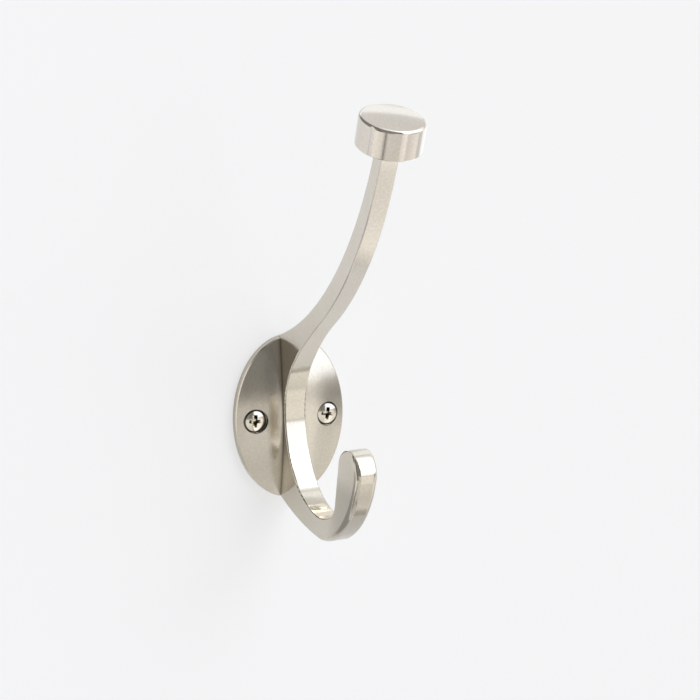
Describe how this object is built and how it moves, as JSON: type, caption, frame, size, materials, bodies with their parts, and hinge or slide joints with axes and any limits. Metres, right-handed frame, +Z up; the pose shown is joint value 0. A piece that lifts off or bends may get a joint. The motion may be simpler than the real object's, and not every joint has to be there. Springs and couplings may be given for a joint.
{
  "type": "double robe hook",
  "caption": "Wall-mounted double robe hook: domed oval backplate, tall curved arm with a round knob, J-shaped lower hook, and its countersunk mounting screws.",
  "frame": {"origin": "centre of the oval backplate's back face, midway between the two screws", "axes": "+Y into the wall along the screws, +Z up towards the knob, +X to the right seen from the front"},
  "size_m": [0.0362, 0.1066, 0.1329],
  "materials": {
    "satin_nickel": "fine brushed satin nickel plating on a zinc die casting",
    "polished_screw": "polished nickel plating on steel"
  },
  "bodies": {
    "root": {"hook_casting": "satin_nickel", "mounting_screws": "polished_screw"}
  },
  "joints": []
}
